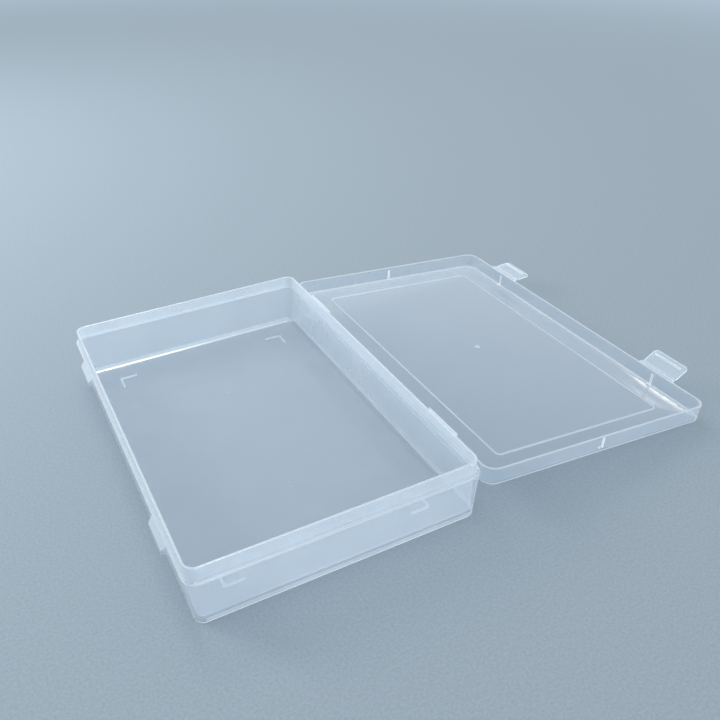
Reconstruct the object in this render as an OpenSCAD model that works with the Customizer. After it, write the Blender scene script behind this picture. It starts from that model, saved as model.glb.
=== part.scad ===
// Shallow flip-lid storage case, moulded in one shot in translucent polypropylene.
// A drafted tray and a skirted lid are joined by two living-hinge straps along one long side.
// Two latch flaps on film hinges snap under wedge catches on the other long side.
// X runs across the case towards the hinge and the opened lid, Y runs along the hinge, Z is up.
// The origin is at the centre of the tray's underside, and the lid is shown opened flat.

/* [Tray] */
// Outer length of the case along the hinge
case_length = 235; // [200:1:280]
// Outer width of the case across the hinge
case_width = 151; // [130:0.5:190]
// Height of the shoulder that the closed lid rests on
shoulder_height = 27.4; // [24:0.2:45]
// Height of the inset band above the shoulder
band_height = 7.7; // [6:0.1:10]
// Width of the shoulder ledge round the foot of the band
ledge_width = 1.5; // [1.4:0.1:2]
// Wall thickness of the band at its foot
band_wall = 1.2; // [1:0.1:1.6]
// Floor thickness of the tray
floor_thickness = 1.3; // [1:0.1:2]
// Plan radius of the outer corners, shared by the tray and the lid
corner_radius = 7.5; // [7.2:0.1:12]
// How far the lower wall leans in between the shoulder and the underside
wall_lean = 2.5; // [1.5:0.1:2.6]
// How far the inside leans in between the rim and the floor
cavity_lean = 1; // [0.8:0.1:1.2]
// How far the outside of the band leans in up to the rim
band_lean = 0.15; // [0.1:0.05:0.2]
// Radius where the inside walls meet the floor
floor_fillet = 3.3; // [1:0.1:3.3]
// Radius of the outer bottom edge
base_edge_radius = 0.9; // [0.6:0.1:1.4]
// Radius of the moulded edge along the rim
rim_edge_radius = 0.35; // [0.2:0.05:0.45]

/* [Lid] */
// Thickness of the lid panel
panel_thickness = 1.1; // [0.9:0.1:1.6]
// Wall thickness of the lid skirt at its edge
skirt_wall = 1.2; // [1:0.1:1.2]
// How far the skirt leans in between its edge and the panel
skirt_lean = 0.4; // [0.2:0.1:0.6]
// Radius of the outer edge between the skirt and the panel
panel_edge_radius = 1.4; // [0.8:0.1:1.8]
// Radius of the inner corner between the skirt and the panel
skirt_fillet = 0.5; // [0.3:0.1:0.6]
// Angle that the opened lid hangs below level
lid_droop = 4.8; // [0:0.2:5]
// Width of the half-round grip ribs inside the skirt
grip_rib_width = 1.8; // [1.2:0.1:2.4]
// How far the grip ribs stand out of the skirt
grip_rib_rise = 0.2; // [0.1:0.05:0.2]
// Clear height between the grip ribs and the skirt edge
grip_rib_setback = 1.8; // [1:0.1:3]

/* [Stacking features] */
// Distance of the bead rectangle from the short sides of the lid
bead_end_margin = 18; // [14.5:0.5:30]
// Distance of the bead rectangle from the long sides of the lid
bead_side_margin = 19.5; // [14.5:0.5:30]
// Width of the bead
bead_thickness = 0.9; // [0.7:0.1:1.2]
// Height of the bead
bead_rise = 0.35; // [0.25:0.05:0.4]
// Plan radius of the corners of the bead and of the corner marks
bead_corner_radius = 3; // [2:0.5:6]
// How far the panel inside the bead rectangle is dished in
field_rise = 2.6; // [1:0.1:3]
// Distance from the sides of the lid to the foot of the sloping margin
slope_start = 3.5; // [3:0.5:8]
// Distance of the corner marks from the short sides of the case
mark_end_margin = 18.5; // [14.5:0.5:30]
// Distance of the corner marks from the long sides of the case
mark_side_margin = 20.5; // [14.5:0.5:30]
// Length of each leg of the L-shaped corner marks under the tray
mark_leg = 11; // [8:0.5:15]
// Width of the corner marks
mark_width = 1.4; // [1:0.1:2]
// Depth of the corner marks
mark_depth = 0.6; // [0.4:0.05:0.7]
// Diameter of the moulding gate marks
gate_diameter = 3.2; // [2:0.2:5]
// Depth of the moulding gate marks
gate_depth = 0.3; // [0.2:0.05:0.4]
// Distance of the two tray gates from the middle
tray_gate_offset = 50; // [30:1:60]

/* [Strap hinges] */
// Distance of each hinge strap's middle from the end of the case
strap_inset = 42.5; // [30:0.5:60]
// Length of each hinge strap along the hinge
strap_length = 27; // [20:1:34]
// Space between the tray and the opened lid
hinge_gap = 1.9; // [1.8:0.1:3.2]
// Radius of the rolled fold line of each strap
strap_roll_radius = 0.5; // [0.4:0.05:0.6]
// Film thickness of each strap
strap_film = 0.4; // [0.3:0.05:0.5]
// Running clearance round a fold line
fold_clearance = 0.08; // [0.05:0.01:0.1]

/* [Latches] */
// Distance of each latch's middle from the end of the case
latch_inset = 40.5; // [30:0.5:60]
// Length of each latch along the lid edge
latch_length = 26; // [20:1:32]
// Width of the flange that carries each latch
flange_width = 2.8; // [2.6:0.1:3.6]
// Thickness of the flange
flange_thickness = 1.2; // [1:0.1:1.4]
// Distance from the fold line to the free edge of each flap
flap_reach = 11.2; // [10.4:0.2:14]
// Thickness of each flap
flap_thickness = 1; // [0.8:0.1:1]
// Radius of the free corners of each flap
flap_corner_radius = 2.6; // [1:0.2:4]
// Radius of the fold line of each latch
latch_roll_radius = 0.32; // [0.26:0.02:0.34]
// Film thickness of each latch hinge
latch_film = 0.35; // [0.25:0.05:0.4]
// Width of the hook bar on each flap
hook_width = 1.4; // [1:0.1:1.6]
// Height of the hook bar above the flap
hook_rise = 1.6; // [1.3:0.1:1.8]
// Length of the hook bar
hook_length = 20; // [14:1:22]
// Angle of the near flap above the lid edge as it was left
near_flap_angle = 33; // [0:1:80]
// Angle of the far flap above the lid edge as it was left
far_flap_angle = 8; // [0:1:80]
// How far each catch stands out of the shoulder
catch_reach = 2.6; // [2:0.1:2.7]
// Height of the sloping top of each catch
catch_slope = 3.8; // [3:0.1:4.5]
// Height of the upright nose of each catch
catch_nose = 2.2; // [1.4:0.1:2.4]
// How far each end of the catch is cut back at its nose
catch_chamfer = 2.4; // [1:0.1:3.5]

/* [Fits] */
// Clearance between the lid edge and the shoulder when closed
closing_gap = 0.1; // [0.1:0.05:0.3]
// Clearance between the panel and the rim when closed
rim_gap = 1.7; // [0.2:0.1:2.5]
// Clearance between a hook bar and its catch when latched
hook_gap = 0.2; // [0.15:0.05:0.4]

/* [Hidden] */
$fn = 64;
arc_steps = 6;
half_length = case_length / 2;
half_width = case_width / 2;
centre_x = half_width - corner_radius;
centre_y = half_length - corner_radius;
rim_height = shoulder_height + band_height;
band_radius = corner_radius - ledge_width;
cavity_top_radius = band_radius - band_wall;
cavity_floor_radius = cavity_top_radius - cavity_lean;
base_radius = corner_radius - wall_lean;
bead_length = case_length - 2 * bead_end_margin;
bead_width = case_width - 2 * bead_side_margin;
mark_length = case_length - 2 * mark_end_margin;
mark_span = case_width - 2 * mark_side_margin;
strap_offset = half_length - strap_inset;
latch_offset = half_length - latch_inset;
hinge_x = half_width + hinge_gap / 2;
hinge_z = shoulder_height + closing_gap;
lid_depth = band_height - closing_gap + rim_gap + panel_thickness;
panel_inner_z = panel_thickness - lid_depth;
field_outer_z = field_rise - lid_depth;
field_border = bead_thickness / 2 + 0.3;
skirt_angle = atan(skirt_lean / 2 / (-panel_inner_z - skirt_fillet));
lid_middle_x = hinge_gap / 2 + half_width;
lid_far_x = hinge_gap / 2 + case_width;
fold_film_reach = latch_roll_radius + latch_film;
fold_x = lid_far_x + flange_width + fold_film_reach;
fold_z = -flange_thickness / 2;
cradle_radius = latch_roll_radius + fold_clearance;
catch_bottom = shoulder_height - catch_slope - catch_nose;
hook_start = hinge_z - fold_z - catch_bottom + hook_gap;
catch_length = latch_length - 0.8;
overlap = 0.01;

// Points of a quarter arc or any other arc, in degrees from the first angle to the second
function arc_points(centre, radius, from, to) =
    [for (i = [0 : arc_steps])
        let (angle = from + (to - from) * i / arc_steps)
        [centre[0] + radius * cos(angle), centre[1] + radius * sin(angle)]];

// Upper side of a wall outline, mirrored for the other side of the case
function both_sides(side, centre) =
    concat([for (p = side) [centre + p[0], p[1]]],
           [for (i = [len(side) - 1 : -1 : 0]) [-centre - side[i][0], side[i][1]]]);

// Solid whose walls follow one outline all round: radius from the corner centres against height
module walled_block(side) {
    first = side[0];
    last = side[len(side) - 1];
    rotate([90, 0, 0])
        linear_extrude(height = 2 * centre_y, center = true)
            polygon(both_sides(side, centre_x));
    rotate([90, 0, 90])
        linear_extrude(height = 2 * centre_x, center = true)
            polygon(both_sides(side, centre_y));
    for (x = [-centre_x, centre_x])
        for (y = [-centre_y, centre_y])
            translate([x, y, 0])
                rotate_extrude()
                    polygon(concat([[0, first[1]]], side, [[0, last[1]]]));
}

// Outside of the tray: rounded bottom edge, leaning wall, shoulder ledge, band and rim
tray_outside = concat(
    arc_points([base_radius - base_edge_radius, base_edge_radius], base_edge_radius, -90, 0),
    [[corner_radius, shoulder_height], [band_radius, shoulder_height]],
    arc_points([band_radius - band_lean - rim_edge_radius, rim_height - rim_edge_radius], rim_edge_radius, 0, 90));

// Inside of the tray: floor fillet, then a straight leaning wall that runs out past the rim
tray_inside = concat(
    arc_points([cavity_floor_radius - floor_fillet, floor_thickness + floor_fillet], floor_fillet, -90, 0),
    arc_points([cavity_top_radius + rim_edge_radius, rim_height - rim_edge_radius], -rim_edge_radius, 0, -90),
    [[cavity_top_radius + rim_edge_radius, rim_height + 1]]);

// Outside of the lid as it lies opened, from the panel up to the skirt edge
lid_outside = concat(
    arc_points([corner_radius - skirt_lean - panel_edge_radius, panel_edge_radius - lid_depth],
               panel_edge_radius, -90, 0),
    [[corner_radius, 0]]);

// Inside of the lid as it lies opened
lid_inside = concat(
    arc_points([corner_radius - skirt_wall - skirt_lean / 2 - skirt_fillet, panel_inner_z + skirt_fillet],
               skirt_fillet, -90, 0),
    [[corner_radius - skirt_wall, 0], [corner_radius - skirt_wall, 1]]);

// Flat rectangle with round corners
module rounded_rectangle(length_x, length_y, radius) {
    square([length_x - 2 * radius, length_y], center = true);
    square([length_x, length_y - 2 * radius], center = true);
    for (x = [-1, 1])
        for (y = [-1, 1])
            translate([x * (length_x / 2 - radius), y * (length_y / 2 - radius)])
                circle(r = radius);
}

// Flat rectangular ring with round corners, measured along its middle line
module ring(length_x, length_y, thickness) {
    difference() {
        rounded_rectangle(length_x + thickness, length_y + thickness, bead_corner_radius + thickness / 2);
        rounded_rectangle(length_x - thickness, length_y - thickness, bead_corner_radius - thickness / 2);
    }
}

// Four L-shaped corner marks, cut into the underside of the floor
module corner_marks() {
    reach_x = mark_span / 2 - mark_leg + mark_width / 2;
    reach_y = mark_length / 2 - mark_leg + mark_width / 2;
    translate([0, 0, -1])
        linear_extrude(height = 1 + mark_depth)
            difference() {
                ring(mark_span, mark_length, mark_width);
                square([2 * reach_x, case_length], center = true);
                square([case_width, 2 * reach_y], center = true);
            }
}

// Wedge catch under the shoulder, with a sloping top, an upright nose and cut-back ends
module catch_wedge() {
    root = half_width - wall_lean - overlap;
    nose = half_width + catch_reach;
    half_catch = catch_length / 2;
    intersection() {
        rotate([90, 0, 0])
            linear_extrude(height = catch_length, center = true)
                polygon([[-root, shoulder_height], [-half_width, shoulder_height],
                         [-nose, shoulder_height - catch_slope], [-nose, catch_bottom], [-root, catch_bottom]]);
        linear_extrude(height = shoulder_height)
            polygon([[-root, -half_catch], [-half_width, -half_catch], [-nose, catch_chamfer - half_catch],
                     [-nose, half_catch - catch_chamfer], [-half_width, half_catch], [-root, half_catch]]);
    }
}

// Tray with its shoulder, band, catches, corner marks and gate marks
module tray() {
    color("aliceblue")
        difference() {
            union() {
                walled_block(tray_outside);
                for (side = [-1, 1])
                    translate([0, side * latch_offset, 0])
                        catch_wedge();
            }
            walled_block(tray_inside);
            corner_marks();
            for (side = [-1, 1])
                translate([0, side * tray_gate_offset, floor_thickness - gate_depth])
                    cylinder(h = 1, d = gate_diameter);
        }
}

// Places its children in the lid's own frame: X from the fold line, Z up from the skirt edge
module on_lid() {
    translate([hinge_x, 0, hinge_z])
        rotate([0, lid_droop, 0])
            children();
}

// Half-round rib on the leaning inner wall of the skirt, whose edge is at x = 0, facing -X
module grip_rib() {
    rib_radius = (pow(grip_rib_width / 2, 2) + pow(grip_rib_rise, 2)) / (2 * grip_rib_rise);
    rib_foot = panel_inner_z - panel_thickness / 2;
    rotate([0, skirt_angle, 0])
        translate([-grip_rib_rise, 0, rib_foot])
            intersection() {
                translate([rib_radius, 0, 0])
                    cylinder(h = -rib_foot - grip_rib_setback, r = rib_radius);
                translate([-1, -grip_rib_width, 0])
                    cube([1 + grip_rib_rise + skirt_wall / 2, 2 * grip_rib_width, lid_depth]);
            }
}

// Short lip on the skirt that each hinge strap folds against
module strap_lip() {
    translate([0, 0, -strap_roll_radius])
        rotate([90, 0, 0])
            difference() {
                translate([0, 0, -strap_length / 2])
                    cube([hinge_gap / 2 + skirt_wall / 2, strap_film, strap_length]);
                translate([0, strap_roll_radius, 0])
                    cylinder(h = strap_length + 1, r = strap_roll_radius + fold_clearance, center = true);
            }
}

// Section of the dished field with its sloping margins, from a flat foot up to the field
function field_section(foot_half, field_half, bottom, foot_z) =
    [[-foot_half, bottom], [-foot_half, foot_z], [-field_half, foot_z + field_rise],
     [field_half, foot_z + field_rise], [foot_half, foot_z], [foot_half, bottom]];

// Low block with four sloping sides that dishes the panel
module dished_field(bottom, foot_z) {
    intersection() {
        rotate([90, 0, 0])
            linear_extrude(height = case_length - 2 * slope_start, center = true)
                polygon(field_section(half_width - slope_start, bead_width / 2 + field_border, bottom, foot_z));
        rotate([90, 0, 90])
            linear_extrude(height = case_width - 2 * slope_start, center = true)
                polygon(field_section(half_length - slope_start, bead_length / 2 + field_border, bottom, foot_z));
    }
}

// Lid shell: skirt, edge and panel, dished in on the outside
module lid_shell() {
    difference() {
        union() {
            difference() {
                walled_block(lid_outside);
                walled_block(lid_inside);
            }
            dished_field(panel_inner_z - panel_thickness / 2, panel_inner_z);
        }
        dished_field(-lid_depth - 1, -lid_depth);
    }
    translate([0, 0, field_outer_z - bead_rise])
        linear_extrude(height = bead_rise + overlap)
            ring(bead_width, bead_length, bead_thickness);
}

// Lid with its skirt, bead, grip ribs, gate mark, strap lips and latch flanges
module lid() {
    color("aliceblue")
        on_lid()
            difference() {
                union() {
                    translate([lid_middle_x, 0, 0]) {
                        lid_shell();
                        for (side = [-1, 1])
                            rotate([0, 0, side * 90])
                                translate([half_length - skirt_wall, 0, 0])
                                    grip_rib();
                    }
                    for (side = [-1, 1]) {
                        translate([lid_far_x - skirt_wall, side * latch_offset, 0])
                            grip_rib();
                        translate([lid_far_x - skirt_wall / 2, side * latch_offset - latch_length / 2,
                                   -flange_thickness])
                            cube([flange_width + skirt_wall / 2, latch_length, flange_thickness]);
                        translate([0, side * strap_offset, 0])
                            strap_lip();
                    }
                }
                translate([lid_middle_x, 0, panel_inner_z + field_rise - gate_depth])
                    cylinder(h = 1, d = gate_diameter);
            }
}

// Flexible strap: a film off the tray's shoulder that ends in a rolled fold line
module hinge_strap(side) {
    color("white")
        translate([hinge_x, side * strap_offset, hinge_z])
            rotate([90, 0, 0]) {
                cylinder(h = strap_length, r = strap_roll_radius, center = true);
                translate([-hinge_gap / 2 - band_wall / 2, -strap_roll_radius, -strap_length / 2])
                    cube([hinge_gap / 2 + band_wall / 2, strap_film, strap_length]);
            }
}

// Film off a latch flange that ends in the rolled fold line of the flap
module latch_hinge_film(side) {
    color("white")
        on_lid()
            translate([fold_x, side * latch_offset, fold_z])
                rotate([90, 0, 0]) {
                    cylinder(h = latch_length, r = latch_roll_radius, center = true);
                    translate([-fold_film_reach, -latch_film / 2, -latch_length / 2])
                        cube([fold_film_reach, latch_film, latch_length]);
                }
}

// Outline of a flap: square at the fold line, round at the free corners
module flap_outline() {
    straight = flap_reach - flap_corner_radius;
    translate([latch_roll_radius, -latch_length / 2])
        square([straight - latch_roll_radius, latch_length]);
    translate([latch_roll_radius, flap_corner_radius - latch_length / 2])
        square([flap_reach - latch_roll_radius, latch_length - 2 * flap_corner_radius]);
    for (side = [-1, 1])
        translate([straight, side * (latch_length / 2 - flap_corner_radius)])
            circle(r = flap_corner_radius);
}

// Latch flap with its hook bar, turned about its fold line to the angle it was left at
module latch_flap(side, angle) {
    top = flap_thickness / 2;
    color("aliceblue")
        on_lid()
            translate([fold_x, side * latch_offset, fold_z])
                rotate([0, -angle, 0]) {
                    difference() {
                        translate([0, 0, -top])
                            linear_extrude(height = flap_thickness)
                                flap_outline();
                        rotate([90, 0, 0])
                            cylinder(h = latch_length + 1, r = cradle_radius, center = true);
                    }
                    rotate([90, 0, 0])
                        linear_extrude(height = hook_length, center = true)
                            polygon([[hook_start, 0], [hook_start, top + hook_rise],
                                     [hook_start + hook_width / 2, top + hook_rise],
                                     [hook_start + hook_width, top + hook_rise / 2], [hook_start + hook_width, 0]]);
                }
}

module hinge_strap_near() { hinge_strap(-1); }
module hinge_strap_far() { hinge_strap(1); }
module latch_film_near() { latch_hinge_film(-1); }
module latch_film_far() { latch_hinge_film(1); }
module latch_near() { latch_flap(-1, near_flap_angle); }
module latch_far() { latch_flap(1, far_flap_angle); }

tray();
lid();
hinge_strap_near();
hinge_strap_far();
latch_near();
latch_far();
latch_film_near();
latch_film_far();
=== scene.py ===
"""Flip-lid storage case, moulded in one shot in translucent polypropylene and lying open.

The tray stands on its flat underside with the origin at its centre. +X runs towards the hinge and the lid, +Y
runs along the hinge and +Z is up. Sizes are written in millimetres and turned to metres by MM.
"""

import logging
import math
from contextlib import contextmanager
from dataclasses import dataclass
from enum import Enum
from typing import Callable, Iterator, Sequence

import bmesh
import bpy
from bmesh.types import BMEdge, BMFace
from bpy.types import Material, NodeSocket, NodeTree, Object
from mathutils import Matrix, Vector


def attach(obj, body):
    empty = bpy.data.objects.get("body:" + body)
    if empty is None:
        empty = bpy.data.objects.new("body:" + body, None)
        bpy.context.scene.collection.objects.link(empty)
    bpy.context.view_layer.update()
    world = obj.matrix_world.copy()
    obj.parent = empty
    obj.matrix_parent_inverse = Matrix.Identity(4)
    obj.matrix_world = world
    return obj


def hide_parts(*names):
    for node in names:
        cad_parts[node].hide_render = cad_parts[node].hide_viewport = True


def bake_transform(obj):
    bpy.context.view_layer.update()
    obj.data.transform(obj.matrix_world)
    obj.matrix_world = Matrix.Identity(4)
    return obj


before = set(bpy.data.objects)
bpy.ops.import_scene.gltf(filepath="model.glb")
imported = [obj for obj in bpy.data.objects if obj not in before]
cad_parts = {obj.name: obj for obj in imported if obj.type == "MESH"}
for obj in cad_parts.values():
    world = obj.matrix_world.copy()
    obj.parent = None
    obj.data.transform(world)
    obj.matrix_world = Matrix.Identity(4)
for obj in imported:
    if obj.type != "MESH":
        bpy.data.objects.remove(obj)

MM = 0.001
# Points closer than TINY are one point, and heights closer than SLACK are one height. MARGIN keeps a zone
# clear of the faces beside it.
TINY = 1e-6
SLACK = 0.01 * MM
MARGIN = 0.1 * MM
# How far a cutter runs past the face that it cuts into.
PAST = 1 * MM
# Shares of a face's normal along one axis. Above FACING the face looks that way, and above LEVEL it is flat.
# Below UPRIGHT along Z it is a wall. STEEP parts walls from floors. Above TILTED or SIDEWAYS it has turned.
FACING = 0.9
LEVEL = 0.98
STEEP = 0.5
UPRIGHT = 0.2
TILTED = 0.05
SIDEWAYS = 0.02
# How fast a face gets milky, partly as painted light, as it turns upright, and how much it has to turn first.
FROST_AND_LIGHT_GAIN = 1.25
FROST_AND_LIGHT_START = 0.2
# Angle in degrees above the lid's edge at which each latch flap was left.
FLAP_ANGLES = {-1: 33.0, 1: 8.0}
LOG = logging.getLogger("case")

Step = tuple[float, float]
FaceTest = Callable[[Vector, Vector], bool]
EdgeTest = Callable[[Vector, Vector], bool]
FaceRule = Callable[[Vector, Vector], float]


class Side(Enum):
    """The two ends of the case along the hinge, as seen by the camera."""

    NEAR = -1
    FAR = 1

    @property
    def word(self) -> str:
        """Name of this end, as the CAD nodes use it."""
        return self.name.lower()

    @property
    def flap_angle(self) -> float:
        """Angle at which this end's latch flap was left, in degrees."""
        return FLAP_ANGLES[self.value]


class Cut(Enum):
    """How one solid is worked into another."""

    JOIN = "UNION"
    REMOVE = "DIFFERENCE"


# Working on meshes


def focus(obj: Object) -> None:
    """Makes one object the only selected one, and the active one.

    Args:
        obj: The object that the next operators act on.
    """
    for other in bpy.context.selected_objects:
        other.select_set(False)
    obj.select_set(True)
    bpy.context.view_layer.objects.active = obj


@contextmanager
def editing(obj: Object, mode: str = "FACE") -> Iterator[None]:
    """Opens a mesh in edit mode with nothing selected, and leaves edit mode at the end.

    Args:
        obj: The mesh object.
        mode: What is selected: VERT, EDGE or FACE.
    """
    focus(obj)
    bpy.ops.object.mode_set(mode="EDIT")
    bpy.ops.mesh.select_mode(type=mode)
    bpy.ops.mesh.select_all(action="DESELECT")
    yield
    bpy.ops.object.mode_set(mode="OBJECT")


def pick(kind: str, wanted: Callable[[BMFace | BMEdge], bool]) -> None:
    """Selects some faces or edges of the edited mesh, and no others of their kind.

    Args:
        kind: What is selected: faces or edges.
        wanted: Says of each face or edge whether it is selected.
    """
    data = bpy.context.edit_object.data
    mesh = bmesh.from_edit_mesh(data)
    for part in getattr(mesh, kind):
        part.select_set(wanted(part))
    mesh.select_flush_mode()
    bmesh.update_edit_mesh(data)


def pick_faces(test: FaceTest) -> None:
    """Selects the faces of the edited mesh whose centre and normal pass a test."""
    pick("faces", lambda face: test(face.calc_center_median(), face.normal))


def pick_edges(test: EdgeTest) -> None:
    """Selects the edges of the edited mesh whose two ends pass a test."""
    pick("edges", lambda edge: test(edge.verts[0].co, edge.verts[1].co))


def is_upright(a: Vector, b: Vector) -> bool:
    """True for an edge that runs along Z."""
    return (a - b).xy.length < TINY


def add_block(name: str, low: Sequence[float], high: Sequence[float]) -> Object:
    """Adds a box between two corners.

    Args:
        name: Name of the new object.
        low: Lowest corner, in metres.
        high: Highest corner, in metres.

    Returns:
        The box, with its place in its mesh.
    """
    size = [h - l for l, h in zip(low, high)]
    middle = [(l + h) / 2 for l, h in zip(low, high)]
    bpy.ops.mesh.primitive_cube_add(size=1, location=middle, scale=size)
    return settle(name)


def keep_place(obj: Object) -> None:
    """Moves an object's place, turn and scale into its mesh."""
    focus(obj)
    bpy.ops.object.transform_apply(location=True, rotation=True, scale=True)


def settle(name: str) -> Object:
    """Names the primitive just added and moves its place into its mesh.

    Args:
        name: Name of the object.

    Returns:
        The object, at the origin, unturned and unscaled.
    """
    obj = bpy.context.object
    obj.name = name
    obj.data.name = name
    keep_place(obj)
    return obj


def bevel_edges(obj: Object, test: EdgeTest, width: float, segments: int) -> None:
    """Rounds the edges that pass a test.

    Args:
        obj: The mesh object.
        test: Takes an edge's two ends, and says whether it is rounded.
        width: Radius of the rounding, in metres.
        segments: Number of faces across it.
    """
    with editing(obj, "EDGE"):
        pick_edges(test)
        bpy.ops.mesh.bevel(offset=width, segments=segments, affect="EDGES", profile=0.5)


def round_all(obj: Object, width: float, segments: int, angle: float = 40.0) -> None:
    """Rounds every sharp edge with an applied Bevel modifier.

    Args:
        obj: The mesh object.
        width: Radius of the rounding, in metres.
        segments: Number of faces across it.
        angle: Edges sharper than this are rounded, in degrees.
    """
    focus(obj)
    bevel = obj.modifiers.new("moulded_edges", "BEVEL")
    bevel.width = width
    bevel.segments = segments
    bevel.limit_method = "ANGLE"
    bevel.angle_limit = math.radians(angle)
    bpy.ops.object.modifier_apply(modifier=bevel.name)


def convex_arc(radius: float, steps: int) -> list[Step]:
    """Steps that round an outer edge, from a wall onto the face that the wall ends in.

    Args:
        radius: Radius of the edge, in metres.
        steps: Number of steps.

    Returns:
        Pairs of inset and rise.
    """
    turns = [math.pi / 2 * i / steps for i in range(steps + 1)]
    return [
        (radius * (math.cos(a) - math.cos(b)), radius * (math.sin(b) - math.sin(a)))
        for a, b in zip(turns, turns[1:])
    ]


def rolled_over(radius: float, steps: int) -> list[Step]:
    """Steps that round an edge from a flat face down into a hollow, where the rise is negative."""
    return [(rise, -inset) for inset, rise in convex_arc(radius, steps)]


def concave_arc(radius: float, steps: int) -> list[Step]:
    """Steps of a fillet from an inner wall down onto the floor of a hollow."""
    return [(inset, -rise) for inset, rise in convex_arc(radius, steps)]


def step_face(obj: Object, upward: bool, steps: Sequence[Step]) -> None:
    """Works the top or bottom face of a slab inwards, step by step, by inset and extrusion in one.

    Args:
        obj: The slab.
        upward: True for its top face, False for its bottom face.
        steps: Pairs of inset and rise, in metres, where rise is along the face's own normal.
    """
    sign = 1 if upward else -1
    reach = max(sign * v.co.z for v in obj.data.vertices)
    with editing(obj):
        pick_faces(lambda centre, normal: sign * normal.z > FACING and sign * centre.z > reach - TINY)
        for inset, rise in steps:
            bpy.ops.mesh.inset(thickness=inset, depth=rise, use_even_offset=True, use_boundary=True)


def rounded_slab(
    name: str, low: Sequence[float], high: Sequence[float], radius: float, segments: int
) -> Object:
    """Adds a box between two corners, with its upright edges rounded.

    Args:
        name: Name of the new object.
        low: Lowest corner, in metres.
        high: Highest corner, in metres.
        radius: Radius of the upright edges, in metres.
        segments: Number of faces across each.

    Returns:
        The slab.
    """
    slab = add_block(name, low, high)
    bevel_edges(slab, is_upright, radius, segments)
    return slab


def work_in(obj: Object, tool: Object, cut: Cut) -> None:
    """Joins a solid to another or takes it away, and deletes it.

    Args:
        obj: The solid that stays.
        tool: The solid that is worked in.
        cut: Whether it is joined or removed.
    """
    focus(obj)
    boolean = obj.modifiers.new("work_in", "BOOLEAN")
    boolean.operation = cut.value
    boolean.solver = "EXACT"
    boolean.object = tool
    bpy.ops.object.modifier_apply(modifier=boolean.name)
    bpy.data.objects.remove(tool)


def turn_about_y(obj: Object, degrees: float, pivot: Vector) -> None:
    """Turns a mesh about a line along Y, with its place kept in its mesh.

    Args:
        obj: The mesh object.
        degrees: Angle, right-handed about Y.
        pivot: A point of the line.
    """
    turn = Matrix.Rotation(math.radians(degrees), 4, "Y")
    obj.matrix_world = Matrix.Translation(pivot) @ turn @ Matrix.Translation(-pivot)
    keep_place(obj)


def shift(obj: Object, offset: Sequence[float]) -> None:
    """Moves a mesh by an offset, with its place kept in its mesh."""
    obj.location = offset
    keep_place(obj)


def finish_mesh(obj: Object, angle: float = 35.0) -> None:
    """Merges doubles, turns the normals outwards and shades shallow edges smooth.

    Args:
        obj: The mesh object.
        angle: Edges sharper than this stay sharp, in degrees.
    """
    with editing(obj):
        bpy.ops.mesh.select_all(action="SELECT")
        bpy.ops.mesh.remove_doubles(threshold=TINY)
        bpy.ops.mesh.normals_make_consistent(inside=False)
    focus(obj)
    bpy.ops.object.shade_smooth_by_angle(angle=math.radians(angle))
    weigh = obj.modifiers.new("flat_faces_stay_flat", "WEIGHTED_NORMAL")
    weigh.keep_sharp = True
    bpy.ops.object.modifier_apply(modifier=weigh.name)


def mark_faces(obj: Object, name: str, rule: FaceRule) -> None:
    """Writes a number on each face for a material to read.

    Args:
        obj: The mesh object.
        name: Name of the attribute.
        rule: Takes a face's centre and normal, and gives its number.
    """
    mark = obj.data.attributes.new(name, "FLOAT", "FACE")
    for face in obj.data.polygons:
        mark.data[face.index].value = rule(face.center, face.normal)


def within(value: float, span: Sequence[float]) -> bool:
    """True for a value between the two ends of a span."""
    return span[0] < value < span[1]


def wall_frost_and_painted_light(normal: Vector) -> float:
    """0 for a level or gently sloping face, up to 1 for an upright one, milkier through frost and painted
    light.
    """
    upright = math.sqrt(max(0.0, 1 - normal.z**2))
    return min(1.0, max(0.0, FROST_AND_LIGHT_GAIN * upright - FROST_AND_LIGHT_START))


# Finishes


def linear(code: str) -> tuple[float, float, float, float]:
    """Turns an sRGB hex colour into linear red, green and blue, and 1."""
    values = [int(code[i : i + 2], 16) / 255 for i in (1, 3, 5)]
    return (*[v / 12.92 if v <= 0.04045 else ((v + 0.055) / 1.055) ** 2.4 for v in values], 1.0)


def add_node(
    tree: NodeTree,
    kind: str,
    settings: dict | None = None,
    links: dict | None = None,
    out: int | str = 0,
) -> NodeSocket | None:
    """Adds a shader node with its settings, socket values and links.

    Args:
        tree: The material's node tree.
        kind: Type name of the node, after the word ShaderNode.
        settings: Properties by name, and socket values by the socket's name or number.
        links: Sockets that feed this node, by the fed socket's name or number.
        out: Name or number of the output that is wanted.

    Returns:
        The node's output, or nothing for the last node.
    """
    node = tree.nodes.new("ShaderNode" + kind)
    for key, value in (settings or {}).items():
        if isinstance(key, str) and hasattr(node, key):
            setattr(node, key, value)
        else:
            node.inputs[key].default_value = value
    for key, socket in (links or {}).items():
        tree.links.new(socket, node.inputs[key])
    return node.outputs[out] if node.outputs else None


def new_material(name: str) -> tuple[Material, NodeTree]:
    """Makes an empty node material.

    Args:
        name: Name of the material.

    Returns:
        The material and its node tree.
    """
    material = bpy.data.materials.new(name)
    material.use_nodes = True
    material.node_tree.nodes.clear()
    return material, material.node_tree


def give(obj: Object, material: Material) -> None:
    """Gives an object one material all over."""
    obj.data.materials.clear()
    obj.data.materials.append(material)


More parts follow.
